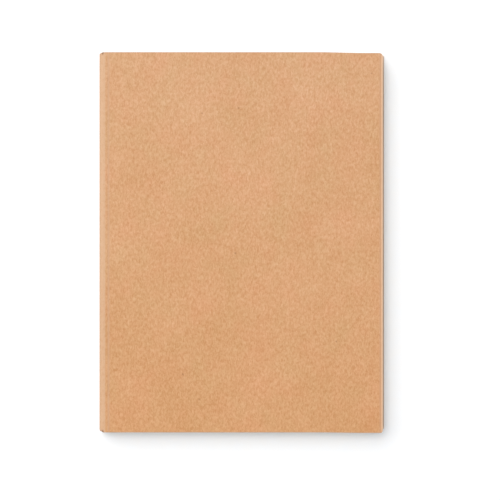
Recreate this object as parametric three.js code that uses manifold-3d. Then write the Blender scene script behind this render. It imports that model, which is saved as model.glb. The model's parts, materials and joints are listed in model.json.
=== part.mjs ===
// Pocket notebook: a thread-sewn block of folded sections in a soft kraft-card cover that is wrapped round a
// square spine with a rounded front turn. Millimetres, +Z up. The notebook lies closed on its back cover, spine
// to -X, head to +Y, with the origin under the middle of its box.
//
// The card turns at two creases: the back corner of the spine, and a score in the front cover just past the turn.
// Each section's leaves turn in the gutter, in front of the sewn fold that stays on the spine.

import * as THREE from "three";
import { mergeVertices } from "three/addons/utils/BufferGeometryUtils.js";
import Module from "manifold-3d";

// Overall sizes
const WIDTH = 105.5; // outside of the spine to the fore-edge of the back cover
const HEIGHT = 140; // head to tail of the cover

// Cover card
const CARD = 0.5;
const FRONT_SETBACK = 1.2; // how far the front cover stops short of the back cover at the fore-edge
const CORNER_RADIUS = 0.9; // fore-edge corners of both covers
const TURN_INNER_RADIUS = 1.3; // inside of the rounded front turn of the spine
const SCORE_TO_SPINE = 3.1; // front score line, from the outside of the spine

// Paper
const SECTIONS = 8;
const SHEETS_PER_SECTION = 5; // each folded once, so a section has this many leaves in each half
const SHEET = 0.11;
const PAGE_MARGIN_FORE = 1.0; // front cover overhang at the fore-edge
const PAGE_MARGIN_END = 0.9; // cover overhang at head and at tail
const PAGE_CORNER_RADIUS = 1.0;
const AIR = 0.05; // air between one half section and the next, and under the covers

// Spine lining and sewing
const GAUZE = 0.2;
const LINING_END_GAP = 0.3; // lining stops this far above the back cover
const LINING_MARGIN_END = 4; // and this far short of the sections at head and tail
const THREAD = 0.3;
const STATIONS = 6; // sewing holes along each fold
const STATION_MARGIN = 9; // first and last hole, from the ends of the sections
const THREAD_TAIL = 2.5;
const TONGUE = 0.3; // paper between the thread and the shortest gutter

// Clearances
const SEAT = 0.02; // between pieces that lie on each other
const CREASE = 0.02; // between the two sides of a crease

// How far the block leans away from the back cover, in degrees, with the leaves fanned evenly in between
const FAN_ANGLE = 90;

const half = SHEETS_PER_SECTION * SHEET; // thickness of half a section
const pitch = half + AIR;
const leafGroups = 2 * SECTIONS;
const blockTop = CARD + AIR + leafGroups * pitch;
const thickness = blockTop + CARD;
const pageLength = HEIGHT - 2 * PAGE_MARGIN_END;
const frontEdge = WIDTH - FRONT_SETBACK;
const pageEdge = frontEdge - PAGE_MARGIN_FORE;

// The front turn is a quarter ring about this centre, in x and z
const turnCentre = CARD + TURN_INNER_RADIUS;
const turnLevel = thickness - turnCentre;

// A fold ends in a half-round nose. The first section's nose lies in the turn, so all noses stand back far enough
// from the spine for that one to clear the card.
const nose = half + AIR / 2;
const noseDrop = TURN_INNER_RADIUS - AIR - nose;
const noseReach = Math.sqrt((noseDrop + AIR - SEAT) ** 2 - noseDrop ** 2);
const foldX = turnCentre - noseReach - nose;
const gauzeX = CARD + SEAT;
const glueX = gauzeX + GAUZE + SEAT;
const glueTop = turnLevel + Math.sqrt((TURN_INNER_RADIUS - SEAT) ** 2 - (turnCentre - glueX) ** 2);

// The thread runs inside the fold, between its halves, and outside in a groove of the nose
const threadOutside = foldX + THREAD / 2;
const threadInside = foldX + half + SEAT + THREAD / 2;

// Height of the middle of each half section, from the front of the notebook down
const levelOf = (group) => blockTop - AIR - half / 2 - (group - 1) * pitch;

// Where each half section turns. A leaf group ends up fanAngle(group) away from the spine's own direction, and the
// groups below it stand nearer to the spine, so that no group is pressed into the next as the block leans.
const fanAngle = (group) => (FAN_ANGLE * group) / (leafGroups + 1);
function gutterOf(group) {
  let x = threadInside + THREAD / 2 + TONGUE + half / 2;
  for (let lower = leafGroups; lower > group; lower--)
    x += pitch * Math.tan(THREE.MathUtils.degToRad(fanAngle(lower) / 2));
  return x;
}

const wasm = await Module();
wasm.setup();

function solidOf(geometry) {
  const bare = geometry.clone();
  bare.deleteAttribute("normal");
  bare.deleteAttribute("uv");
  const merged = mergeVertices(bare);
  return new wasm.Manifold(
    new wasm.Mesh({
      numProp: 3,
      vertProperties: merged.attributes.position.array,
      triVerts: new Uint32Array(merged.index.array),
    }),
  );
}

function geometryOf(solid) {
  const { vertProperties, triVerts } = solid.getMesh();
  const geometry = new THREE.BufferGeometry();
  geometry.setAttribute("position", new THREE.BufferAttribute(vertProperties, 3));
  geometry.setIndex(new THREE.BufferAttribute(triVerts, 1));
  geometry.computeVertexNormals();
  return geometry;
}

const finish = (color, roughness) => new THREE.MeshStandardMaterial({ color, roughness, metalness: 0 });

const notebook = new THREE.Group();
notebook.position.x = -WIDTH / 2;

function piece(name, geometry, material) {
  const mesh = new THREE.Mesh(geometry, material);
  mesh.name = name;
  notebook.add(mesh);
}

// A shape drawn in x and z, run along the spine and centred on it
function alongSpine(shape, length) {
  const geometry = new THREE.ExtrudeGeometry(shape, { depth: length, bevelEnabled: false, curveSegments: 8 });
  return geometry.rotateX(Math.PI / 2).translate(0, length / 2, 0);
}

// A shape drawn in plan, from one level up by its thickness
function flat(shape, level, depth) {
  const geometry = new THREE.ExtrudeGeometry(shape, { depth, bevelEnabled: false, curveSegments: 6 });
  return geometry.translate(0, 0, level);
}

function polygon(points) {
  return new THREE.Shape(points.map(([x, y]) => new THREE.Vector2(x, y)));
}

// A sheet in plan: square at the spine side, round corners at the fore-edge
function sheetOutline(x0, x1, length, radius) {
  const y = length / 2;
  const outline = new THREE.Shape();
  outline.moveTo(x0, y);
  outline.lineTo(x0, -y);
  outline.absarc(x1 - radius, radius - y, radius, -Math.PI / 2, 0, false);
  outline.absarc(x1 - radius, y - radius, radius, 0, Math.PI / 2, false);
  return outline;
}

// Back cover: its spine side is mitred, because the card folds at the bottom corner of the spine
function backCover() {
  const plate = solidOf(flat(sheetOutline(CREASE, WIDTH, HEIGHT, CORNER_RADIUS), 0, CARD));
  const mitre = polygon([
    [CREASE - CARD, -CARD],
    [CREASE + 2 * CARD, 2 * CARD],
    [CREASE - CARD, 2 * CARD],
  ]);
  return geometryOf(plate.subtract(solidOf(alongSpine(mitre, HEIGHT + 2 * CARD))));
}

// Spine wrap: the mitred back corner, the flat of the spine, the rounded turn and the strip up to the score
function spineWrap() {
  const outer = TURN_INNER_RADIUS + CARD;
  const wrap = new THREE.Shape();
  wrap.moveTo(0, 0);
  wrap.lineTo(CARD, CARD);
  wrap.absarc(turnCentre, turnLevel, TURN_INNER_RADIUS, Math.PI, Math.PI / 2, true);
  wrap.lineTo(SCORE_TO_SPINE, thickness - CARD);
  wrap.lineTo(SCORE_TO_SPINE, thickness);
  wrap.absarc(turnCentre, turnLevel, outer, Math.PI / 2, Math.PI, false);
  return alongSpine(wrap, HEIGHT);
}

// A lining strip of the spine: its two x values, and its top
function lining(x0, x1, top) {
  const bottom = CARD + LINING_END_GAP;
  const strip = polygon([
    [x0, bottom],
    [x1, bottom],
    [x1, top],
    [x0, top],
  ]);
  return alongSpine(strip, pageLength - 2 * LINING_MARGIN_END);
}

// Thread in plan: in and out at the sewing holes, with a tail outside at each end. The outline follows the right
// angles of that path at half the width to each side, and extra widens and lengthens it for the groove it lies in.
function stitchOutline(extra) {
  const reach = pageLength / 2 - STATION_MARGIN;
  const path = [new THREE.Vector2(threadOutside, -reach - THREAD_TAIL - extra)];
  for (let hole = 0; hole < STATIONS; hole++) {
    const y = -reach + (2 * reach * hole) / (STATIONS - 1);
    const [from, to] = hole % 2 ? [threadInside, threadOutside] : [threadOutside, threadInside];
    path.push(new THREE.Vector2(from, y), new THREE.Vector2(to, y));
  }
  path.push(new THREE.Vector2(threadOutside, reach + THREAD_TAIL + extra));
  const width = THREAD / 2 + extra;
  const normals = path.slice(1).map((point, i) => {
    const run = point.clone().sub(path[i]).normalize();
    return new THREE.Vector2(-run.y, run.x);
  });
  const sides = [1, -1].map((side) =>
    path.map((point, i) => {
      const before = normals[Math.max(i - 1, 0)];
      const after = normals[Math.min(i, normals.length - 1)];
      const out = before.equals(after) ? before.clone() : before.clone().add(after);
      return point.clone().addScaledVector(out, side * width);
    }),
  );
  return new THREE.Shape([...sides[1], ...sides[0].reverse()]);
}

// Sewn fold of a section: the half-round nose and one tongue of paper to each half's gutter
function fold(front, back) {
  const middle = (levelOf(front) + levelOf(back)) / 2;
  const tongueEnd = (group) => gutterOf(group) - half / 2 - SEAT;
  const slit = foldX + half;
  const profile = new THREE.Shape();
  profile.moveTo(tongueEnd(back), middle - nose);
  profile.lineTo(tongueEnd(back), middle - AIR / 2);
  profile.lineTo(slit, middle - AIR / 2);
  profile.lineTo(slit, middle + AIR / 2);
  profile.lineTo(tongueEnd(front), middle + AIR / 2);
  profile.lineTo(tongueEnd(front), middle + nose);
  profile.absarc(foldX + nose, middle, nose, Math.PI / 2, (3 * Math.PI) / 2, false);
  const groove = flat(stitchOutline(SEAT), middle - THREAD / 2 - SEAT, THREAD + 2 * SEAT);
  return geometryOf(solidOf(alongSpine(profile, pageLength)).subtract(solidOf(groove)));
}

function leaves(group) {
  const outline = sheetOutline(gutterOf(group) + SEAT, pageEdge, pageLength, PAGE_CORNER_RADIUS);
  return flat(outline, levelOf(group) - half / 2, half);
}

const frontOutline = sheetOutline(SCORE_TO_SPINE + CREASE, frontEdge, HEIGHT, CORNER_RADIUS);
piece("front_cover", flat(frontOutline, thickness - CARD, CARD), finish("#dca97c", 0.9));
piece("back_cover", backCover(), finish("#dca97c", 0.9));
piece("spine_wrap", spineWrap(), finish("#e2b186", 0.9));
piece("spine_gauze", lining(gauzeX, gauzeX + GAUZE, turnLevel), finish("#e6e1d4", 0.95));
piece("spine_glue", lining(glueX, foldX - SEAT, glueTop), finish("#d9cfae", 0.5));

for (let section = 1; section <= SECTIONS; section++) {
  const front = 2 * section - 1;
  const back = 2 * section;
  const middle = (levelOf(front) + levelOf(back)) / 2;
  piece(`section_${section}_fold`, fold(front, back), finish("#f1ead9", 0.9));
  piece(`section_${section}_thread`, flat(stitchOutline(0), middle - THREAD / 2, THREAD), finish("#f4f1e8", 0.8));
  piece(`section_${section}_front_leaves`, leaves(front), finish("#f3ecdc", 0.9));
  piece(`section_${section}_back_leaves`, leaves(back), finish("#f3ecdc", 0.9));
}

export default notebook;
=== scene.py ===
import json
import math

import bmesh
import bpy
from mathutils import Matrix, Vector


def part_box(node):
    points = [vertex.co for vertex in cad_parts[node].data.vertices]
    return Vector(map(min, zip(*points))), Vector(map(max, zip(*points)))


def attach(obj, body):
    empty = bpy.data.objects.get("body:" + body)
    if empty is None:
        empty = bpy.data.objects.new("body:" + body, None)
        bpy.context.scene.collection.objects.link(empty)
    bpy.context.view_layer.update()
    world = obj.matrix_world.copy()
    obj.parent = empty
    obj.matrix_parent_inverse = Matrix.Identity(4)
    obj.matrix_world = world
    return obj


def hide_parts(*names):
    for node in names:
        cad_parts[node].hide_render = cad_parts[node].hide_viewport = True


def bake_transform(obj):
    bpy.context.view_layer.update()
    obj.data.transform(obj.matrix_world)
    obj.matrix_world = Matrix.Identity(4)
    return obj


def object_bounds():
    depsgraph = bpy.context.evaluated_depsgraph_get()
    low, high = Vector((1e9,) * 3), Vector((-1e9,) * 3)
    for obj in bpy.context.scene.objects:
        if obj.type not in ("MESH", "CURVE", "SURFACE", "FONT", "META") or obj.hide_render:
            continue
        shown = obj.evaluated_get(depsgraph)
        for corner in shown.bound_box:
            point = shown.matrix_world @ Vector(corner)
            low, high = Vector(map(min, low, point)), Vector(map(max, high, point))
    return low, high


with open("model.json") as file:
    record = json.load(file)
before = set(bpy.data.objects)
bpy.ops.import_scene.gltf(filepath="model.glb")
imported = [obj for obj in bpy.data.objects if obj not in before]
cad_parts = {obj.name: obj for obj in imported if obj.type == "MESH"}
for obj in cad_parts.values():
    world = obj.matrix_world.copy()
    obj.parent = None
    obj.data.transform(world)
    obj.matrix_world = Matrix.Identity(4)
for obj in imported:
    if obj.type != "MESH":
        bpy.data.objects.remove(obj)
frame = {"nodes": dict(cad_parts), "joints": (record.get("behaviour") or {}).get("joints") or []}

bl_info = {
    "name": "Pocket notebook",
    "version": (1, 0, 0),
    "blender": (4, 5, 0),
    "location": "3D View > Sidebar > Notebook",
    "description": "Thread-sewn pocket notebook in a soft kraft-card cover",
    "category": "Object",
}

CAD_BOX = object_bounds()
MM = 0.001
SECTIONS = sum(name.endswith("_fold") for name in frame["nodes"])
HALVES = ("front", "back")
PIVOTS = {joint["child"]: Vector(joint["pos_m"]) for joint in frame["joints"]}

# Edges of the pieces that the frame already places
FRONT_LOW, FRONT_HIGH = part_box("front_cover")
BACK_LOW, BACK_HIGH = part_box("back_cover")
SPINE_LOW, SPINE_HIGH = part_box("spine_wrap")
CARD = BACK_HIGH.z - BACK_LOW.z
SPINE_MIDDLE = (SPINE_LOW.z + SPINE_HIGH.z) / 2

SEWING_HOLES = 6

# Softboxes: name, place and size in metres, and the setting that holds the power
SOFTBOXES = (
    ("softbox_side", (-0.57, 0.57, 1.4), 1.8, "side_power"),
    ("softbox_above", (-0.164, 0.164, 1.4), 0.6, "above_power"),
)


# ---------------------------------------------------------------- settings


class NotebookCover(bpy.types.PropertyGroup):
    """Sizes and colours of the card cover."""

    turn_radius: bpy.props.FloatProperty(
        name="Front turn",
        description="Outside radius where the card turns from the spine to the front cover",
        default=1.8 * MM,
        unit="LENGTH",
    )
    back_radius: bpy.props.FloatProperty(
        name="Back turn",
        description="Outside radius where the card turns from the spine to the back cover",
        default=0.7 * MM,
        unit="LENGTH",
    )
    corner_radius: bpy.props.FloatProperty(
        name="Corners",
        description="Radius of the covers' corners at the fore-edge",
        default=0.9 * MM,
        unit="LENGTH",
    )
    overhang: bpy.props.FloatProperty(
        name="Overhang",
        description="How far the front card reaches past the frame's front cover",
        default=0.12 * MM,
        unit="LENGTH",
    )
    score_depth: bpy.props.FloatProperty(
        name="Score depth",
        description="Depth of the line pressed into the front cover where it bends",
        default=0.07 * MM,
        unit="LENGTH",
    )
    score_width: bpy.props.FloatProperty(
        name="Score width", description="Width of the score line", default=0.7 * MM, unit="LENGTH"
    )
    spine_wear: bpy.props.FloatProperty(
        name="Spine wear",
        description="How far the corners at the spine's ends are worn in",
        default=0.95 * MM,
        unit="LENGTH",
    )
    out_of_square: bpy.props.FloatProperty(
        name="Out of square",
        description="How far the front cover's trim strays from square towards the fore-edge",
        default=0.45 * MM,
        unit="LENGTH",
    )
    edge_round: bpy.props.FloatProperty(
        name="Edge softness",
        description="Rounding that handling has given to the cut edges",
        default=0.09 * MM,
        unit="LENGTH",
    )
    kraft: bpy.props.StringProperty(
        name="Kraft", description="Main colour of the card, sRGB hex", default="CEA07A"
    )
    kraft_light: bpy.props.StringProperty(
        name="Pale fibres", description="Colour of the pale fibres, sRGB hex", default="D9B08E"
    )
    kraft_dark: bpy.props.StringProperty(
        name="Dark fibres", description="Colour of the darker fibres, sRGB hex", default="B88457"
    )


class NotebookPaper(bpy.types.PropertyGroup):
    """Sizes and colours of the sections."""

    leaves: bpy.props.IntProperty(
        name="Leaves", description="Leaves in each half of a section", default=5, min=1
    )
    pitch: bpy.props.FloatProperty(
        name="Leaf pitch", description="From one leaf to the next", default=0.11 * MM, unit="LENGTH"
    )
    thickness: bpy.props.FloatProperty(
        name="Leaf thickness", description="Thickness of one leaf", default=0.1 * MM, unit="LENGTH"
    )
    corner_radius: bpy.props.FloatProperty(
        name="Page corners", description="Radius of the leaves' corners", default=1.0 * MM, unit="LENGTH"
    )
    bend: bpy.props.FloatProperty(
        name="Bend",
        description="Length of leaf, from its gutter, that curves when the notebook opens",
        default=20 * MM,
        unit="LENGTH",
    )
    unevenness: bpy.props.FloatProperty(
        name="Unevenness",
        description="How far one trimmed leaf may stand out from the next",
        default=0.05 * MM,
        unit="LENGTH",
    )
    paper: bpy.props.StringProperty(
        name="Paper", description="Colour of the paper, sRGB hex", default="ECE6D8"
    )


class NotebookBinding(bpy.types.PropertyGroup):
    """Sizes and colours of the sewing and the spine lining."""

    twist: bpy.props.FloatProperty(
        name="Twist", description="Length of one turn of the thread's plies", default=1.1 * MM, unit="LENGTH"
    )
    tail: bpy.props.FloatProperty(
        name="Thread tail", description="Loose end past the last sewing hole", default=2.5 * MM, unit="LENGTH"
    )
    gauze_spacing: bpy.props.FloatProperty(
        name="Gauze spacing",
        description="From one thread of the gauze to the next",
        default=1.1 * MM,
        unit="LENGTH",
    )
    gauze_thread: bpy.props.FloatProperty(
        name="Gauze thread", description="Thickness of the gauze's threads", default=0.1 * MM, unit="LENGTH"
    )
    thread: bpy.props.StringProperty(
        name="Thread", description="Colour of the thread, sRGB hex", default="EFE8D8"
    )
    gauze: bpy.props.StringProperty(
        name="Gauze", description="Colour of the gauze, sRGB hex", default="E8E2D4"
    )
    glue: bpy.props.StringProperty(
        name="Glue", description="Colour of the dried glue, sRGB hex", default="D8C79B"
    )


class NotebookStage(bpy.types.PropertyGroup):
    """Camera, floor and lights."""

    distance: bpy.props.FloatProperty(
        name="Distance", description="Camera to the front cover", default=0.7, unit="LENGTH"
    )
    view_width: bpy.props.FloatProperty(
        name="View width", description="Width of the view at the front cover", default=0.18405, unit="LENGTH"
    )
    shift_right: bpy.props.FloatProperty(
        name="Camera right",
        description="Camera to the right of the front cover's middle",
        default=3.37 * MM,
        unit="LENGTH",
    )
    shift_down: bpy.props.FloatProperty(
        name="Camera down",
        description="Camera towards the tail from the cover's middle",
        default=2.83 * MM,
        unit="LENGTH",
    )
    floor: bpy.props.StringProperty(
        name="Floor", description="Colour of the floor, sRGB hex", default="F4F7FB"
    )
    surround: bpy.props.StringProperty(
        name="Surround",
        description="Colour of the studio round the notebook, which fills the shadows",
        default="F7FBFF",
    )
    surround_strength: bpy.props.FloatProperty(
        name="Surround strength", description="Brightness of the studio round the notebook", default=0.51
    )
    lamp: bpy.props.StringProperty(
        name="Lamps", description="Colour of both softboxes", default="FFFCF9"
    )
    side_power: bpy.props.FloatProperty(
        name="Side softbox",
        description="Power of the wide softbox at the upper left",
        default=18.52,
        unit="POWER",
    )
    above_power: bpy.props.FloatProperty(
        name="Upper softbox",
        description="Power of the small softbox, which gives the shadow its edge",
        default=5.81,
        unit="POWER",
    )


GROUPS = {
    "notebook_cover": NotebookCover,
    "notebook_paper": NotebookPaper,
    "notebook_binding": NotebookBinding,
    "notebook_stage": NotebookStage,
}


# ---------------------------------------------------------------- materials


def linear(code):
    """A linear RGBA colour from an sRGB hex code."""
    channels = [int(code[i : i + 2], 16) / 255 for i in (0, 2, 4)]
    return [c / 12.92 if c <= 0.04045 else ((c + 0.055) / 1.055) ** 2.4 for c in channels] + [1.0]


def grey(level):
    return (level, level, level, 1.0)


def add(tree, kind, settings=None, **links):
    """Adds a node. settings are its properties, links its inputs: a socket to join, or a value.

    An input is named in lower case with underscores, or as a number: _0, _1 and so on."""
    node = tree.nodes.new(kind)
    for key, value in (settings or {}).items():
        setattr(node, key, value)
    by_name = {}
    for socket in node.inputs:
        if socket.enabled:
            by_name.setdefault(socket.name.lower().replace(" ", "_"), socket)
    for key, value in links.items():
        socket = node.inputs[int(key[1:])] if key[1:].isdigit() else by_name[key]
        if isinstance(value, bpy.types.NodeSocket):
            tree.links.new(value, socket)
        else:
            socket.default_value = value
    return node


def ramp(tree, factor, *stops):
    """A colour ramp of (position, colour) stops."""
    node = add(tree, "ShaderNodeValToRGB", _0=factor)
    elements = node.color_ramp.elements
    for i, (position, colour) in enumerate(stops):
        element = elements[i] if i < 2 else elements.new(position)
        element.position = position
        element.color = colour
    return node.outputs["Color"]


def mix(tree, factor, a, b, blend="MIX"):
    """Colour a turned into b by factor."""
    node = add(tree, "ShaderNodeMix", {"data_type": "RGBA", "blend_type": blend})
    for index, value in ((0, factor), (6, a), (7, b)):
        if isinstance(value, bpy.types.NodeSocket):
            tree.links.new(value, node.inputs[index])
        else:
            node.inputs[index].default_value = value
    return node.outputs[2]


def maths(tree, operation, *values, clamp=False):
    """One calculation on numbers."""
    links = {f"_{i}": value for i, value in enumerate(values)}
    return add(tree, "ShaderNodeMath", {"operation": operation, "use_clamp": clamp}, **links).outputs[0]


def new_material(name):
    material = bpy.data.materials.new(name)
    material.use_nodes = True
    tree = material.node_tree
    tree.nodes.clear()
    return material, tree


def finish_material(tree, colour, roughness, height=None, bump=0.0, depth=0.0, **shader):
    """Ends a material in one shader, with bump where a height is given. depth is the height's size in metres."""
    links = {"base_color": colour, "roughness": roughness, **shader}
    if height is not None:
        relief = add(tree, "ShaderNodeBump", strength=bump, distance=depth, height=height)
        links["normal"] = relief.outputs[0]
    surface = add(tree, "ShaderNodeBsdfPrincipled", **links)
    add(tree, "ShaderNodeOutputMaterial", surface=surface.outputs[0])


def noise(tree, place, size, detail=2.0, rough=0.5, stretch=(1, 1, 1), warp=0.0):
    """Noise whose main spots are about size metres apart, stretched along the axes."""
    scale = [1 / (size * s) for s in stretch]
    mapped = add(tree, "ShaderNodeMapping", vector=place, scale=scale).outputs[0]
    node = add(
        tree,
        "ShaderNodeTexNoise",
        {"noise_dimensions": "3D"},
        vector=mapped,
        scale=1.0,
        detail=detail,
        roughness=rough,
        distortion=warp,
    )
    return node.outputs["Fac"]


def rest_place(tree):
    """Where a point is on the closed notebook, so that a pattern stays put as its piece bends."""
    return add(tree, "ShaderNodeAttribute", {"attribute_name": "rest_place"}).outputs["Vector"]


def handling(tree):
    """What cutting, use and painted light have done at a point: how much it is rubbed pale, how much it shows the
    pale core, both also painted light on the back cover's fore-edge where it lies in the front cover's shade, and
    how much it is darker, which is painted shade at head, tail and score. The last is above 1 at dark spots of
    painted shade at the ends of the turn."""
    node = add(tree, "ShaderNodeAttribute", {"attribute_name": "handling"})
    return add(tree, "ShaderNodeSeparateXYZ", _0=node.outputs["Vector"]).outputs


def kraft_card():
    """Kraft card of recycled pulp: a matte brown, cloudy where the pulp is thinner and a little paler towards the
    head, with short fibres along the grain and a few dark bits of bark. It is dusty where hands rub it and pale
    where the cut shows its core; on the back cover's fore-edge, which lies in the front cover's shade, a wider pale
    band is painted light. It is darker in a line just in from the fore-edge and at head, tail and score, where the
    darkening is painted shade, and dark spots of painted shade sit at the ends of the turn."""
    cover = bpy.context.scene.notebook_cover
    material, tree = new_material("kraft_card_uncoated")
    place = rest_place(tree)
    rubbed_and_lit, core_and_lit, pressed_and_shaded = handling(tree)
    base, light, dark = linear(cover.kraft), linear(cover.kraft_light), linear(cover.kraft_dark)

    # Clouds of 18 mm, drifts of hue of 11 mm, flecks of 0.9 mm and fibres of 0.45 mm, longer along the spine
    clouds = noise(tree, place, 18 * MM, 5.0, 0.65)
    drift = noise(tree, place, 11 * MM, 3.0, 0.6, stretch=(1, 1.3, 1))
    flecks = noise(tree, place, 0.9 * MM, 2.0, 0.6, stretch=(1, 1.4, 1), warp=0.4)
    fibres = noise(tree, place, 0.45 * MM, 2.0, 0.65, stretch=(0.8, 2.4, 1), warp=0.8)
    colour = mix(tree, ramp(tree, flecks, (0.5, grey(0)), (0.72, grey(0.75))), base, light)
    colour = mix(tree, ramp(tree, flecks, (0.28, grey(0.42)), (0.5, grey(0))), colour, dark)
    colour = mix(tree, ramp(tree, fibres, (0.3, grey(0.6)), (0.5, grey(0))), colour, dark)
    colour = mix(tree, ramp(tree, fibres, (0.54, grey(0)), (0.72, grey(0.8))), colour, light)
    shade = ramp(tree, clouds, (0.3, (0.925, 0.907, 0.83, 1)), (0.7, grey(1)))
    colour = mix(tree, 1.0, colour, shade, "MULTIPLY")
    hue = ramp(tree, drift, (0.3, (0.961, 1, 1, 1)), (0.7, (1, 0.952, 0.974, 1)))
    colour = mix(tree, 1.0, colour, hue, "MULTIPLY")
    upward = add(tree, "ShaderNodeSeparateXYZ", _0=place).outputs["Y"]
    share = maths(tree, "MULTIPLY_ADD", upward, 1 / (FRONT_HIGH.y - FRONT_LOW.y), 0.5)
    fade = ramp(tree, share, (0.0, (0.988, 0.922, 0.8, 1)), (1.0, (1, 0.996, 0.985, 1)))
    colour = mix(tree, 1.0, colour, fade, "MULTIPLY")

    # Bark: one cell in three, 7 mm apart, holds a dark bit 0.6 to 1 mm across with a ragged outline
    jitter = add(tree, "ShaderNodeTexNoise", vector=place, scale=1 / (0.625 * MM)).outputs["Color"]
    ragged = add(tree, "ShaderNodeMix", {"data_type": "VECTOR"}, _0=0.4 * MM, _4=place, _5=jitter).outputs[1]
    cells = add(tree, "ShaderNodeTexVoronoi", vector=ragged, scale=1 / (7 * MM))
    near = ramp(tree, cells.outputs["Distance"], (0.04, grey(1)), (0.075, grey(0)))
    chosen = add(tree, "ShaderNodeSeparateColor", _0=cells.outputs["Color"]).outputs[0]
    bark = maths(tree, "MULTIPLY", near, maths(tree, "GREATER_THAN", chosen, 0.65))
    colour = mix(tree, maths(tree, "MULTIPLY", bark, 0.5), colour, linear("8F6340"))

    # Wear and painted light and shade, from the least to the most: dusty, with painted light on the back cover's
    # fore-edge;
    # darker, with painted shade at head, tail and score; dark spots of painted shade at the ends of the turn; and
    # cut to the pale core, with painted light on the back cover's fore-edge
    dust_and_light = maths(tree, "MULTIPLY", rubbed_and_lit, ramp(tree, flecks, (0.3, grey(0.7)), (0.6, grey(1))), clamp=True)
    colour = mix(tree, dust_and_light, colour, linear("CCA787"))
    # Darker at the trimmed edges; at head, tail and along the score this darkening is painted shade
    colour = mix(tree, maths(tree, "MULTIPLY", pressed_and_shaded, 1.0, clamp=True), colour, linear("BF9677"))
    # Painted shade: dark brown spots at the ends of the turn
    colour = mix(tree, maths(tree, "SUBTRACT", pressed_and_shaded, 1.0, clamp=True), colour, linear("5E4A2C"))
    colour = mix(tree, maths(tree, "MULTIPLY", core_and_lit, 1.0, clamp=True), colour, linear("E6C3A4"))

    height = maths(tree, "ADD", maths(tree, "MULTIPLY", flecks, 0.6), maths(tree, "MULTIPLY", fibres, 0.4))
    rough = ramp(tree, flecks, (0.3, grey(0.78)), (0.7, grey(0.9)))
    finish_material(tree, colour, rough, height, 0.35, 0.05 * MM, ior=1.45, specular_ior_level=0.3)
    return material


def writing_paper():
    """Uncoated recycled writing paper: off-white and matte, a little cloudy against the light, with rare
    straw-coloured specks, and darker cut edges that read as one line for each leaf."""
    paper = bpy.context.scene.notebook_paper
    material, tree = new_material("writing_paper_uncoated")
    place = rest_place(tree)
    base = linear(paper.paper)
    clouds = noise(tree, place, 6 * MM, 3.0, 0.6)
    grain = noise(tree, place, 0.35 * MM, 2.0, 0.6, stretch=(1, 1.8, 1))
    specks = noise(tree, place, 0.8 * MM, 1.0, 0.4)
    colour = mix(tree, ramp(tree, clouds, (0.3, grey(0)), (0.7, grey(0.5))), base, linear("EAE4D6"))
    colour = mix(tree, ramp(tree, grain, (0.35, grey(0.3)), (0.5, grey(0))), colour, linear("D6CBB5"))
    colour = mix(tree, ramp(tree, specks, (0.74, grey(0)), (0.78, grey(0.5))), colour, linear("A98F6A"))
    _, cut, pressed_and_shaded = handling(tree)
    rim = maths(tree, "MULTIPLY", maths(tree, "ADD", cut, pressed_and_shaded, clamp=True), 0.4)
    colour = mix(tree, rim, colour, linear("D6CCB9"))
    finish_material(tree, colour, 0.9, grain, 0.2, 0.02 * MM, ior=1.45, specular_ior_level=0.25)
    return material


def sewing_thread():
    """Unbleached three-ply cotton thread, waxed: a soft sheen along each ply and darker hollows between them."""
    binding = bpy.context.scene.notebook_binding
    material, tree = new_material("cotton_thread_waxed")
    place = add(tree, "ShaderNodeTexCoord").outputs["Object"]
    fibres = noise(tree, place, 0.06 * MM, 2.0, 0.6, stretch=(1, 4, 1))
    lit = ramp(tree, fibres, (0.3, grey(0)), (0.7, grey(1)))
    colour = mix(tree, lit, linear("D9CFB9"), linear(binding.thread))
    finish_material(tree, colour, 0.55, fibres, 0.4, 0.01 * MM, ior=1.5, sheen_weight=0.3, sheen_roughness=0.4)
    return material


def cotton_gauze():
    """Open cotton gauze, sized: thin off-white yarns with loose fibres."""
    binding = bpy.context.scene.notebook_binding
    material, tree = new_material("cotton_gauze_woven")
    place = add(tree, "ShaderNodeTexCoord").outputs["Object"]
    fibres = noise(tree, place, 0.1 * MM, 2.0, 0.6)
    colour = mix(tree, fibres, linear("CFC7B5"), linear(binding.gauze))
    finish_material(tree, colour, 0.85, fibres, 0.3, 0.01 * MM, ior=1.5, sheen_weight=0.2, sheen_roughness=0.5)
    return material


def binding_glue():
    """Dried bookbinding glue: amber, a little glossy, with ripples from the brush and trapped haze."""
    binding = bpy.context.scene.notebook_binding
    material, tree = new_material("binding_glue_dried")
    place = add(tree, "ShaderNodeTexCoord").outputs["Object"]
    haze = noise(tree, place, 2.5 * MM, 3.0, 0.6, stretch=(1, 3, 1))
    colour = mix(tree, haze, linear("C9B27C"), linear(binding.glue))
    rough = ramp(tree, haze, (0.3, grey(0.28)), (0.7, grey(0.5)))
    finish_material(tree, colour, rough, haze, 0.3, 0.05 * MM, ior=1.48)
    return material


def floor_paper():
    """Seamless studio paper: white and quite matte."""
    stage = bpy.context.scene.notebook_stage
    material, tree = new_material("studio_paper_seamless")
    place = add(tree, "ShaderNodeTexCoord").outputs["Object"]
    grain = noise(tree, place, 4 * MM, 2.0, 0.5)
    colour = mix(tree, grain, linear(stage.floor), linear("F6F6F6"))
    finish_material(tree, colour, 0.95, ior=1.45, specular_ior_level=0.1)
    return material


MADE = {}


def material_of(maker):
    """The material that a function makes, made once."""
    found = bpy.data.materials.get(MADE.get(maker.__name__, ""))
    if found is None:
        found = maker()
        MADE[maker.__name__] = found.name
    return found


# ---------------------------------------------------------------- mesh building


def new_object(name, mesh):
    made = bpy.data.objects.new(name, mesh)
    bpy.context.scene.collection.objects.link(made)
    return made


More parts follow.
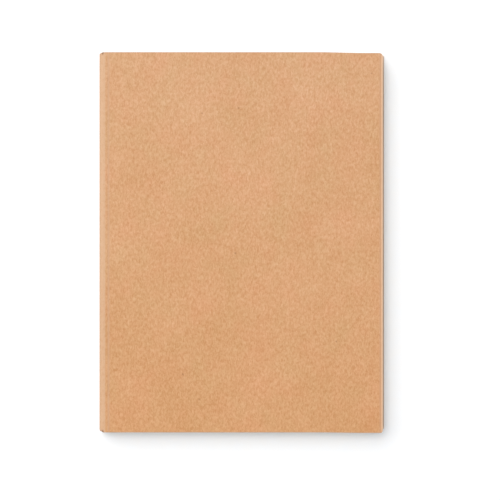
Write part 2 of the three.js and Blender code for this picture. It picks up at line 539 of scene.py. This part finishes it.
def spread(low, high, step, fine=(), fine_step=0.0):
    """Numbers from low to high, step apart, and fine_step apart inside the fine ranges."""
    values = {low, high}
    count = max(1, round((high - low) / step))
    values.update(low + (high - low) * i / count for i in range(1, count))
    for start, end in fine:
        start, end = max(start, low), min(end, high)
        values = {v for v in values if not start < v < end}
        count = max(1, round((end - start) / fine_step))
        values.update(start + (end - start) * i / count for i in range(count + 1))
    ordered = sorted(values)
    kept = [ordered[0]]
    for value in ordered[1:]:
        if value - kept[-1] > 1e-6:
            kept.append(value)
    kept[-1] = high
    return kept


def even_shares(length, step):
    """Shares from 0 to 1 of a length, about step apart."""
    return [v / length for v in spread(0, length, step)]


def finish_form(form, name):
    """Turns a bmesh into an object with outward faces."""
    bmesh.ops.recalc_face_normals(form, faces=form.faces)
    mesh = bpy.data.meshes.new(name)
    form.to_mesh(mesh)
    form.free()
    smooth(mesh)
    return new_object(name, mesh)


def slab(name, columns, rows, edge_round, butted=False):
    """A closed sheet. columns are (outer point, inner point, low y, high y, marks) across the sheet, points in x and
    z, marks as four numbers: rubbed pale, pale core, darker, and dark spots of painted shade at the ends of the
    turn, where the first two also paint light on the back cover's shaded fore-edge and the third paints shade at
    head, tail and score. rows are shares from 0 to 1 along y. The rim's edges are rounded by edge_round, but for the
    first column's where another sheet is butted against it."""
    form = bmesh.new()
    marks = form.verts.layers.float_vector.new("handling")
    grids = []
    for side in (0, 1):
        grid = []
        for column in columns:
            x, z = column[side]
            low, high, (rubbed_and_lit, core_and_lit, pressed_and_shaded, painted_shade_spot) = column[2:]
            line = []
            for share in rows:
                vertex = form.verts.new((x, low + (high - low) * share, z))
                # The last 0.35 mm at head and tail is darker, which on the cover is painted shade, and painted shade
                # at the ends of the turn runs in 1.3 mm from there
                end = min(share, 1 - share) * (high - low)
                rim = max(pressed_and_shaded, 1 - end / (0.35 * MM))
                shade_spot = painted_shade_spot * (1 - soft_step(end, 0.5 * MM, 1.3 * MM))
                vertex[marks] = (rubbed_and_lit, core_and_lit, rim + (1.7 - rim) * shade_spot)
                line.append(vertex)
            grid.append(line)
        grids.append(grid)
    outer, inner = grids
    last, top = len(columns) - 1, len(rows) - 1
    for i in range(last):
        for j in range(top):
            form.faces.new((outer[i][j], outer[i + 1][j], outer[i + 1][j + 1], outer[i][j + 1]))
            form.faces.new((inner[i][j], inner[i][j + 1], inner[i + 1][j + 1], inner[i + 1][j]))
    for i in range(last):
        form.faces.new((outer[i][0], inner[i][0], inner[i + 1][0], outer[i + 1][0]))
        form.faces.new((outer[i][top], outer[i + 1][top], inner[i + 1][top], inner[i][top]))
    for j in range(top):
        form.faces.new((outer[0][j], outer[0][j + 1], inner[0][j + 1], inner[0][j]))
        form.faces.new((outer[last][j], inner[last][j], inner[last][j + 1], outer[last][j + 1]))
    form.normal_update()
    if edge_round:
        seam = set(outer[0] + inner[0]) if butted else set()
        rim = [
            edge
            for edge in form.edges
            if edge.calc_face_angle() > math.radians(50) and not seam.issuperset(edge.verts)
        ]
        bmesh.ops.bevel(form, geom=rim, offset=edge_round, segments=3, profile=0.5, affect="EDGES")
    return finish_form(form, name)


def smooth(mesh, angle=40):
    mesh.shade_smooth()
    mesh.set_sharp_from_angle(angle=math.radians(angle))


def keep_rest(made):
    """Stores each point's place on the closed notebook."""
    mesh = made.data
    attribute = mesh.attributes.new("rest_place", "FLOAT_VECTOR", "POINT")
    flat = [0.0] * (3 * len(mesh.vertices))
    mesh.vertices.foreach_get("co", flat)
    attribute.data.foreach_set("vector", flat)


def dress(made, maker, slot, *replaced):
    """Gives a piece its material and hides the CAD nodes it stands for."""
    material = material_of(maker)
    made.data.materials.clear()
    made.data.materials.append(material)
    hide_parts(*replaced)
    return made


def corner_inset(distance, radius):
    """How far a rounded corner draws the end in, at a distance from the fore-edge."""
    if distance >= radius:
        return 0.0
    return radius - math.sqrt(max(0.0, radius**2 - (radius - distance) ** 2))


def soft_step(value, low, high):
    """0 below low, 1 above high, and a smooth rise between."""
    share = min(1.0, max(0.0, (value - low) / (high - low)))
    return share * share * (3 - 2 * share)


def bell(value, middle, width):
    """1 at middle, falling away smoothly on both sides."""
    return math.exp(-(((value - middle) / width) ** 2))


# ---------------------------------------------------------------- the cover


def row_shares(height):
    """Rows of a cover: close together at head and tail, even between."""
    values = spread(0, height, 2.5 * MM, [(0, 1.2 * MM), (height - 1.2 * MM, height)], 0.15 * MM)
    return [v / height for v in values]


def fore_edge_columns(start, end, step, radius, fine=(), fine_step=0.0):
    """Places across a cover, finer at the rounded corners."""
    flat = spread(start, end - radius, step, fine, fine_step)
    turns = 9
    arc = [end - radius + radius * math.sin(math.pi / 2 * i / turns) for i in range(1, turns + 1)]
    return flat + arc


def wrap_columns(flat, centre, radius, turn, worn, reach):
    """Columns of the spine's flat, then of the turn from it to a cover. The spine's ends are worn in by worn at
    the turn, less so at the head, and by nothing at reach away from it. Dark spots of painted shade sit at the ends
    of the turn, 1.3 mm from the spine."""
    left = SPINE_LOW.x
    columns = []

    def column(outer, inner, inset, rubbed_and_lit, painted_shade_spot):
        low = FRONT_LOW.y + worn * inset
        high = FRONT_HIGH.y - 0.6 * worn * inset
        columns.append((outer, inner, low, high, (rubbed_and_lit, 0, 0, painted_shade_spot)))

    for z in flat:
        away = abs(z - centre[1]) / reach
        rubbed_and_lit = 0.25 + 0.6 * (1 - soft_step(away, 0, 0.8))
        column((left, z), (left + CARD, z), (1 - away) ** 1.7, rubbed_and_lit, 0)
    steps = 14
    for i in range(steps + 1):
        angle = math.pi + turn * i / steps
        out_x, out_z = math.cos(angle), math.sin(angle)
        x, z = centre[0] + radius * out_x, centre[1] + radius * out_z
        along = x - left
        inset = max(0.0, 1 - along / (1.5 * MM)) ** 1.3
        painted_shade_spot = bell(along, 1.3 * MM, 0.5 * MM)
        column((x, z), (x - CARD * out_x, z - CARD * out_z), inset, 0.85, painted_shade_spot)
    return columns


def cover_columns(start, edge, level, inward, skew, lit_band):
    """Columns of a cover from its turn to its fore-edge, with the score's groove sunk in. Near the fore-edge the
    head and the tail stray from square by shares of skew, and the head's corner is rounder by skew. The last
    argument is the width of the pale band at the fore-edge, painted light on the back cover, whose fore-edge lies in
    the front cover's shade; the pale core there is half as wide, and 0.3 mm at least."""
    cover = bpy.context.scene.notebook_cover
    score = PIVOTS["front_cover"].x + 0.25 * MM
    head_radius = cover.corner_radius + skew
    pale = max(0.3 * MM, lit_band / 2)
    fine = [(start, start + 0.9 * MM), (score - 0.9 * MM, score + 0.9 * MM), (edge - 1.6 * MM, edge)]
    columns = []
    for x in fore_edge_columns(start, edge, 2.6 * MM, head_radius, fine, 0.1 * MM)[1:]:
        to_edge = edge - x
        groove = bell(x, score, cover.score_width / 2)
        outer = level + inward * cover.score_depth * groove
        skewed = skew * soft_step(x, edge - 24 * MM, edge - 6 * MM)
        low = FRONT_LOW.y + corner_inset(to_edge, cover.corner_radius) - 0.4 * skewed
        high = FRONT_HIGH.y - corner_inset(to_edge, head_radius) - 0.7 * skewed
        by_turn = 0.85 * (1 - soft_step(x, start + 0.1 * MM, start + 0.75 * MM))
        # Rubbed pale at the turn and along the score; the pale band at the fore-edge is painted light on the back
        # cover's shaded fore-edge
        by_edge = 1 - soft_step(to_edge, 0.7 * lit_band, lit_band) if lit_band else 0.0
        rubbed_and_lit = max(by_turn, 0.25 * groove, by_edge)
        # Pale core at the cut edge; its wider band on the back cover is painted light
        core_and_lit = 1 - soft_step(to_edge, pale, pale + 0.25 * MM)
        # Painted shade along the score's groove, and a darker line 0.85 mm in from the fore-edge
        score_shade = bell(x, score + 0.15 * MM, cover.score_width / 2)
        pressed_and_shaded = 0.8 * bell(to_edge, 0.85 * MM, 0.35 * MM) + 0.6 * score_shade
        columns.append(((x, outer), (x, outer + inward * CARD), low, high, (rubbed_and_lit, core_and_lit, pressed_and_shaded, 0)))
    return columns


class NOTEBOOK_OT_front_card(bpy.types.Operator):
    """Card of the front: upper half of the spine, rounded turn, score and front cover, in one sheet"""

    bl_idname = "notebook.front_card"
    bl_label = "Front card"

    def execute(self, context):
        cover = context.scene.notebook_cover
        radius = cover.turn_radius
        top = FRONT_HIGH.z
        centre = (SPINE_LOW.x + radius, top - radius)
        flat = spread(SPINE_MIDDLE, centre[1], 0.5 * MM)[:-1]
        reach = centre[1] - SPINE_MIDDLE
        columns = wrap_columns(flat, centre, radius, -math.pi / 2, cover.spine_wear, reach)
        columns += cover_columns(centre[0], FRONT_HIGH.x + cover.overhang, top, -1, cover.out_of_square, 0.0)
        rows = row_shares(FRONT_HIGH.y - FRONT_LOW.y)
        piece = slab("card_front", columns, rows, cover.edge_round, butted=True)
        keep_rest(piece)
        dress(piece, kraft_card, "kraft_card", "front_cover", "spine_wrap")
        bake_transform(piece)
        return {"FINISHED"}


class NOTEBOOK_OT_back_card(bpy.types.Operator):
    """Card of the back: lower half of the spine, back turn and back cover, in one sheet"""

    bl_idname = "notebook.back_card"
    bl_label = "Back card"

    def execute(self, context):
        cover = context.scene.notebook_cover
        radius = cover.back_radius
        bottom = BACK_LOW.z
        centre = (SPINE_LOW.x + radius, bottom + radius)
        flat = list(reversed(spread(centre[1], SPINE_MIDDLE, 0.5 * MM)[1:]))
        reach = SPINE_MIDDLE - centre[1]
        columns = wrap_columns(flat, centre, radius, math.pi / 2, cover.spine_wear / 2, reach)
        # A 2.4 mm pale band of painted light at the back cover's fore-edge, which lies in the front cover's shade
        columns += cover_columns(centre[0], BACK_HIGH.x, bottom, 1, 0.0, 2.4 * MM)
        rows = row_shares(BACK_HIGH.y - BACK_LOW.y)
        piece = slab("card_back", columns, rows, cover.edge_round, butted=True)
        keep_rest(piece)
        dress(piece, kraft_card, "kraft_card", "back_cover")
        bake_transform(piece)
        return {"FINISHED"}


# ---------------------------------------------------------------- geometry nodes


def new_tree(name, sockets):
    """A geometry tree with named inputs, given as (name, kind, default)."""
    tree = bpy.data.node_groups.new(name, "GeometryNodeTree")
    tree.interface.new_socket("Geometry", in_out="OUTPUT", socket_type="NodeSocketGeometry")
    tree.interface.new_socket("Geometry", in_out="INPUT", socket_type="NodeSocketGeometry")
    for label, kind, default in sockets:
        made = tree.interface.new_socket(label, in_out="INPUT", socket_type=kind)
        if default is not None:
            made.default_value = default
    source = tree.nodes.new("NodeGroupInput")
    return tree, {socket.name: socket for socket in source.outputs}


def end_tree(tree, geometry, material):
    """Ends a tree in real geometry with its material."""
    real = add(tree, "GeometryNodeRealizeInstances", _0=geometry).outputs[0]
    dressed = add(tree, "GeometryNodeSetMaterial", geometry=real, material=material).outputs[0]
    add(tree, "NodeGroupOutput", _0=dressed)


def run_tree(source, tree, values):
    """Runs a tree on an object and leaves a plain mesh in its place."""
    modifier = source.modifiers.new("Build", "NODES")
    modifier.node_group = tree
    for item in tree.interface.items_tree:
        if item.item_type == "SOCKET" and item.in_out == "INPUT" and item.name in values:
            modifier[item.identifier] = values[item.name]
    bpy.context.view_layer.update()
    graph = bpy.context.evaluated_depsgraph_get()
    mesh = bpy.data.meshes.new_from_object(source.evaluated_get(graph))
    name = source.name
    old = source.data
    bpy.data.objects.remove(source)
    made = new_object(name, mesh)
    made.name = name
    mesh.name = name
    if old.users == 0 and isinstance(old, bpy.types.Mesh):
        bpy.data.meshes.remove(old)
    return made


def leaf_stack_tree():
    """Copies one leaf into a stack, each copy a little out of line as trimming leaves it."""
    tree, given = new_tree(
        "Leaf stack",
        [
            ("Leaves", "NodeSocketInt", 5),
            ("Pitch", "NodeSocketFloat", 0.11 * MM),
            ("Unevenness", "NodeSocketFloat", 0.05 * MM),
            ("Seed", "NodeSocketInt", 0),
            ("Paper", "NodeSocketMaterial", None),
        ],
    )
    step = add(tree, "ShaderNodeCombineXYZ", z=given["Pitch"]).outputs[0]
    points = add(tree, "GeometryNodeMeshLine", {"mode": "OFFSET"}, count=given["Leaves"], offset=step).outputs[0]
    least = maths(tree, "MULTIPLY", given["Unevenness"], -1.0)
    low = add(tree, "ShaderNodeCombineXYZ", x=least, y=least).outputs[0]
    high = add(tree, "ShaderNodeCombineXYZ", y=given["Unevenness"]).outputs[0]
    slip = add(
        tree, "FunctionNodeRandomValue", {"data_type": "FLOAT_VECTOR"}, _0=low, _1=high, seed=given["Seed"]
    ).outputs[0]
    moved = add(tree, "GeometryNodeSetPosition", geometry=points, offset=slip).outputs[0]
    stack = add(tree, "GeometryNodeInstanceOnPoints", points=moved, instance=given["Geometry"]).outputs[0]
    end_tree(tree, stack, given["Paper"])
    return tree


def thread_tree():
    """Lays three twisted plies along a path."""
    tree, given = new_tree(
        "Plied thread",
        [
            ("Radius", "NodeSocketFloat", 0.14 * MM),
            ("Twist", "NodeSocketFloat", 1.1 * MM),
            ("Bend", "NodeSocketFloat", 0.12 * MM),
            ("Thread", "NodeSocketMaterial", None),
        ],
    )
    path = add(
        tree, "GeometryNodeFilletCurve", {"mode": "POLY"}, curve=given["Geometry"], count=4, radius=given["Bend"]
    ).outputs[0]
    length = maths(tree, "DIVIDE", given["Twist"], 9.0)
    path = add(tree, "GeometryNodeResampleCurve", {"mode": "LENGTH"}, curve=path, length=length).outputs[0]
    along = add(tree, "GeometryNodeSplineParameter").outputs["Length"]
    turns = maths(tree, "DIVIDE", along, given["Twist"])
    tilt = maths(tree, "MULTIPLY", turns, 2 * math.pi)
    path = add(tree, "GeometryNodeSetCurveTilt", curve=path, tilt=tilt).outputs[0]
    # Profile: a ring whose radius rises and falls three times, once for each ply
    ring = add(tree, "GeometryNodeCurvePrimitiveCircle", resolution=12, radius=given["Radius"]).outputs[0]
    place = add(tree, "GeometryNodeInputPosition").outputs[0]
    parts = add(tree, "ShaderNodeSeparateXYZ", _0=place).outputs
    angle = maths(tree, "ARCTAN2", parts[1], parts[0])
    third = maths(tree, "MULTIPLY", angle, 3.0)
    wave = maths(tree, "COSINE", third)
    size = maths(tree, "MULTIPLY_ADD", wave, 0.16, 0.84)
    lobes = add(tree, "ShaderNodeVectorMath", {"operation": "SCALE"}, _0=place, scale=size).outputs[0]
    ring = add(tree, "GeometryNodeSetPosition", geometry=ring, position=lobes).outputs[0]
    solid = add(tree, "GeometryNodeCurveToMesh", curve=path, profile_curve=ring, fill_caps=True).outputs[0]
    end_tree(tree, solid, given["Thread"])
    return tree


def gauze_tree():
    """Lays threads along the spine and across it, the second set on top of the first."""
    tree, given = new_tree(
        "Gauze",
        [
            ("Length", "NodeSocketFloat", 130 * MM),
            ("Width", "NodeSocketFloat", 8 * MM),
            ("Spacing", "NodeSocketFloat", 1.1 * MM),
            ("Thread", "NodeSocketFloat", 0.1 * MM),
            ("Yarn", "NodeSocketMaterial", None),
        ],
    )
    radius = maths(tree, "DIVIDE", given["Thread"], 2.0)
    ring = add(tree, "GeometryNodeCurvePrimitiveCircle", resolution=6, radius=radius).outputs[0]
    sets = []
    for run, across, run_axis, across_axis, side in (
        ("Length", "Width", "y", "z", 1.0),
        ("Width", "Length", "z", "y", -1.0),
    ):
        offset = maths(tree, "MULTIPLY", radius, side)
        half = maths(tree, "MULTIPLY", given[run], 0.5)
        back = maths(tree, "MULTIPLY", given[run], -0.5)
        start = add(tree, "ShaderNodeCombineXYZ", x=offset, **{run_axis: back}).outputs[0]
        end = add(tree, "ShaderNodeCombineXYZ", x=offset, **{run_axis: half}).outputs[0]
        line = add(tree, "GeometryNodeCurvePrimitiveLine", start=start, end=end).outputs[0]
        strand = add(tree, "GeometryNodeCurveToMesh", curve=line, profile_curve=ring, fill_caps=True).outputs[0]
        inner = maths(tree, "SUBTRACT", given[across], given["Thread"])
        share = maths(tree, "DIVIDE", inner, given["Spacing"])
        gaps = maths(tree, "FLOOR", share)
        count = maths(tree, "ADD", gaps, 1.0)
        edge = maths(tree, "MULTIPLY", inner, -0.5)
        first = add(tree, "ShaderNodeCombineXYZ", **{across_axis: edge}).outputs[0]
        gap = maths(tree, "DIVIDE", inner, gaps)
        step = add(tree, "ShaderNodeCombineXYZ", **{across_axis: gap}).outputs[0]
        points = add(
            tree, "GeometryNodeMeshLine", {"mode": "OFFSET"}, count=count, start_location=first, offset=step
        ).outputs[0]
        sets.append(add(tree, "GeometryNodeInstanceOnPoints", points=points, instance=strand).outputs[0])
    join = add(tree, "GeometryNodeJoinGeometry")
    for made in sets:
        tree.links.new(made, join.inputs[0])
    end_tree(tree, join.outputs[0], given["Yarn"])
    return tree


# ---------------------------------------------------------------- the sections


def section_middle(section):
    """Where a section's fold turns back: x of its nose's centre, the nose's radius, and the height between
    halves."""
    low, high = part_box(f"section_{section}_fold")
    radius = (high.z - low.z) / 2
    return low.x + radius, radius, (high.z + low.z) / 2


def half_ring(form, marks, centre, middle, radii, low, high, shares):
    """Adds a closed half ring of paper to a bmesh, between two radii, with its cut ends marked."""
    steps = 12
    rings = []
    for i in range(steps + 1):
        angle = math.pi / 2 + math.pi * i / steps
        lines = []
        for radius in radii:
            x, z = centre + radius * math.cos(angle), middle + radius * math.sin(angle)
            line = []
            for share in shares:
                vertex = form.verts.new((x, low + (high - low) * share, z))
                vertex[marks] = (0, 1.0 if share in (0.0, 1.0) else 0.0, 0)
                line.append(vertex)
            lines.append(line)
        rings.append(lines)
    last = len(shares) - 1
    for a, b in zip(rings, rings[1:]):
        for j in range(last):
            form.faces.new((a[0][j], b[0][j], b[0][j + 1], a[0][j + 1]))
            form.faces.new((a[1][j], a[1][j + 1], b[1][j + 1], b[1][j]))
        for j in (0, last):
            form.faces.new((a[0][j], a[1][j], b[1][j], b[0][j]))
    for a in (rings[0], rings[-1]):
        for j in range(last):
            form.faces.new((a[0][j], a[1][j], a[1][j + 1], a[0][j + 1]))


class NOTEBOOK_OT_folds(bpy.types.Operator):
    """Folded backs of the sections, one half ring of paper for each sheet, nested"""

    bl_idname = "notebook.folds"
    bl_label = "Section folds"

    def execute(self, context):
        paper = context.scene.notebook_paper
        for section in range(1, SECTIONS + 1):
            centre, radius, middle = section_middle(section)
            low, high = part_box(f"section_{section}_fold")
            inside = radius - paper.leaves * paper.pitch
            form = bmesh.new()
            marks = form.verts.layers.float_vector.new("handling")
            shares = even_shares(high.y - low.y, 8 * MM)
            for sheet in range(paper.leaves):
                inner = inside + sheet * paper.pitch
                radii = (inner + paper.thickness, inner)
                half_ring(form, marks, centre, middle, radii, low.y, high.y, shares)
            piece = finish_form(form, f"section_{section}_nest")
            keep_rest(piece)
            dress(piece, writing_paper, "book_paper", f"section_{section}_fold")
            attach(piece, "spine")
        return {"FINISHED"}


class NOTEBOOK_OT_leaves(bpy.types.Operator):
    """Leaves of each half section, one thin sheet each, with closer columns over the bend length from the gutter"""

    bl_idname = "notebook.leaves"
    bl_label = "Leaves"

    def execute(self, context):
        paper = context.scene.notebook_paper
        tree = leaf_stack_tree()
        for section in range(1, SECTIONS + 1):
            start = section_middle(section)[0]
            for half, side in enumerate(HALVES):
                node = f"section_{section}_{side}_leaves"
                low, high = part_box(node)
                edge = high.x
                gutter = PIVOTS[node]
                fine = [(start, gutter.x + paper.bend)]
                columns = []
                for x in fore_edge_columns(start, edge, 4 * MM, paper.corner_radius, fine, 0.8 * MM):
                    inset = corner_inset(edge - x, paper.corner_radius)
                    upper, lower = (x, low.z + paper.thickness), (x, low.z)
                    cut = 1.0 if x == edge else 0.0
                    columns.append((upper, lower, low.y + inset, high.y - inset, (0, cut, 0, 0)))
                rows = even_shares(high.y - low.y, 12 * MM)
                leaf = slab(f"section_{section}_{side}_pages", columns, rows, 0.0)
                stack = run_tree(
                    leaf,
                    tree,
                    {
                        "Leaves": paper.leaves,
                        "Pitch": paper.pitch,
                        "Unevenness": paper.unevenness,
                        "Seed": 2 * section + half,
                        "Paper": material_of(writing_paper),
                    },
                )
                keep_rest(stack)
                dress(stack, writing_paper, "book_paper", node)
                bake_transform(stack)
        return {"FINISHED"}


# ---------------------------------------------------------------- sewing and lining


def stitch_path(section, tail):
    """The thread's way through a fold: in and out at the sewing holes, evenly spaced, with a tail at each end.
    Outside it is half sunk in the paper. Also gives the thread's radius."""
    low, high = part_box(f"section_{section}_thread")
    radius = (high.z - low.z) / 2
    outside, inside, level = low.x + 0.1 * radius, high.x - radius, low.z + radius
    reach = high.y - tail
    points = [(outside, low.y, level)]
    for hole in range(SEWING_HOLES):
        y = -reach + 2 * reach * hole / (SEWING_HOLES - 1)
        across = (outside, inside) if hole % 2 == 0 else (inside, outside)
        points += [(x, y, level) for x in across]
    points.append((outside, high.y, level))
    return points, radius


class NOTEBOOK_OT_threads(bpy.types.Operator):
    """Sewing thread of each section, three twisted plies"""

    bl_idname = "notebook.threads"
    bl_label = "Sewing thread"

    def execute(self, context):
        binding = context.scene.notebook_binding
        tree = thread_tree()
        for section in range(1, SECTIONS + 1):
            points, radius = stitch_path(section, binding.tail)
            name = f"section_{section}_stitches"
            line = bpy.data.curves.new(name, "CURVE")
            line.dimensions = "3D"
            spline = line.splines.new("POLY")
            spline.points.add(len(points) - 1)
            for point, place in zip(spline.points, points):
                point.co = (*place, 1.0)
            # The plies stay inside the frame's thread, and the bends are tighter than its radius
            piece = run_tree(
                new_object(name, line),
                tree,
                {
                    "Radius": radius * 0.95,
                    "Twist": binding.twist,
                    "Bend": radius * 0.8,
                    "Thread": material_of(sewing_thread),
                },
            )
            smooth(piece.data, 80)
            dress(piece, sewing_thread, "sewing_thread", f"section_{section}_thread")
            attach(piece, "spine")
        return {"FINISHED"}


class NOTEBOOK_OT_gauze(bpy.types.Operator):
    """Open gauze that lines the spine"""

    bl_idname = "notebook.gauze"
    bl_label = "Spine gauze"

    def execute(self, context):
        binding = context.scene.notebook_binding
        low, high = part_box("spine_gauze")
        empty = new_object("spine_gauze_weave", bpy.data.meshes.new("spine_gauze_weave"))
        piece = run_tree(
            empty,
            gauze_tree(),
            {
                "Length": high.y - low.y,
                "Width": high.z - low.z,
                "Spacing": binding.gauze_spacing,
                "Thread": binding.gauze_thread,
                "Yarn": material_of(cotton_gauze),
            },
        )
        middle = (low + high) / 2
        for vertex in piece.data.vertices:
            vertex.co += middle
        smooth(piece.data, 80)
        dress(piece, cotton_gauze, "gauze", "spine_gauze")
        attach(piece, "spine")
        return {"FINISHED"}


class NOTEBOOK_OT_glue(bpy.types.Operator):
    """Binding glue: flat against the gauze, scalloped where it has run in between the folds"""

    bl_idname = "notebook.glue"
    bl_label = "Binding glue"

    def execute(self, context):
        low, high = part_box("spine_glue")
        columns = []
        # The glue lies 0.01 mm off each fold, and goes 0.3 mm in between folds at most
        noses = [section_middle(section) for section in range(1, SECTIONS + 1)]
        for z in spread(low.z, high.z, 0.12 * MM):
            reach = high.x
            for centre, radius, middle in noses:
                if abs(z - middle) < radius:
                    reach = max(high.x, centre - math.sqrt(radius**2 - (z - middle) ** 2) - 0.01 * MM)
            reach = min(reach, high.x + 0.3 * MM)
            columns.append(((low.x, z), (reach, z), low.y, high.y, (0, 0, 0, 0)))
        rows = even_shares(high.y - low.y, 5 * MM)
        piece = slab("spine_glue_bead", columns, rows, 0.0)
        dress(piece, binding_glue, "binding_glue", "spine_glue")
        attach(piece, "spine")
        return {"FINISHED"}


# ---------------------------------------------------------------- stage


class NOTEBOOK_OT_stage(bpy.types.Operator):
    """White floor, soft light from the upper left, and the camera straight above"""

    bl_idname = "notebook.stage"
    bl_label = "Stage"

    def execute(self, context):
        stage = context.scene.notebook_stage
        scene = context.scene
        floor = bpy.data.meshes.new("floor")
        form = bmesh.new()
        # Three metres each way, and just under the notebook
        bmesh.ops.create_grid(form, x_segments=2, y_segments=2, size=3.0)
        form.to_mesh(floor)
        form.free()
        ground = new_object("floor", floor)
        for vertex in floor.vertices:
            vertex.co.z = -0.05 * MM
        floor.materials.append(material_of(floor_paper))

        world = bpy.data.worlds.new("studio_surround")
        world.use_nodes = True
        sky = world.node_tree.nodes["Background"]
        sky.inputs["Color"].default_value = linear(stage.surround)
        sky.inputs["Strength"].default_value = stage.surround_strength
        scene.world = world

        middle = (CAD_BOX[0] + CAD_BOX[1]) / 2
        for name, place, size, power in SOFTBOXES:
            light = bpy.data.lights.new(name, "AREA")
            light.shape = "DISK"
            light.size = size
            light.energy = getattr(stage, power)
            light.color = linear(stage.lamp)[:3]
            lamp = bpy.data.objects.new(name, light)
            scene.collection.objects.link(lamp)
            lamp.location = place
            lamp.rotation_euler = (middle - Vector(place)).to_track_quat("-Z", "Y").to_euler()

        lens = bpy.data.cameras.new("camera")
        lens.sensor_width = 36.0
        lens.lens = lens.sensor_width * stage.distance / stage.view_width
        camera = bpy.data.objects.new("camera", lens)
        scene.collection.objects.link(camera)
        camera.location = (
            (SPINE_LOW.x + FRONT_HIGH.x) / 2 + stage.shift_right,
            (FRONT_LOW.y + FRONT_HIGH.y) / 2 - stage.shift_down,
            FRONT_HIGH.z + stage.distance,
        )
        scene.camera = camera
        scene.view_settings.view_transform = "Standard"
        return {"FINISHED"}


# ---------------------------------------------------------------- add-on

OPERATORS = (
    NOTEBOOK_OT_front_card,
    NOTEBOOK_OT_back_card,
    NOTEBOOK_OT_folds,
    NOTEBOOK_OT_leaves,
    NOTEBOOK_OT_threads,
    NOTEBOOK_OT_gauze,
    NOTEBOOK_OT_glue,
    NOTEBOOK_OT_stage,
)


class NOTEBOOK_PT_panel(bpy.types.Panel):
    """Lists the notebook's settings and the operators that make its pieces"""

    bl_idname = "NOTEBOOK_PT_panel"
    bl_label = "Pocket notebook"
    bl_space_type = "VIEW_3D"
    bl_region_type = "UI"
    bl_category = "Notebook"

    def draw(self, context):
        for group, kind in GROUPS.items():
            box = self.layout.box()
            settings = getattr(context.scene, group)
            for key in kind.__annotations__:
                box.prop(settings, key)
        for operator in OPERATORS:
            self.layout.operator(operator.bl_idname)


def register():
    for group, kind in GROUPS.items():
        bpy.utils.register_class(kind)
        setattr(bpy.types.Scene, group, bpy.props.PointerProperty(type=kind))
    for kind in (*OPERATORS, NOTEBOOK_PT_panel):
        bpy.utils.register_class(kind)


def unregister():
    for kind in (NOTEBOOK_PT_panel, *reversed(OPERATORS)):
        bpy.utils.unregister_class(kind)
    for group, kind in GROUPS.items():
        delattr(bpy.types.Scene, group)
        bpy.utils.unregister_class(kind)


def main():
    register()
    for operator in OPERATORS:
        module, name = operator.bl_idname.split(".")
        getattr(getattr(bpy.ops, module), name)()


if __name__ == "__main__":
    main()
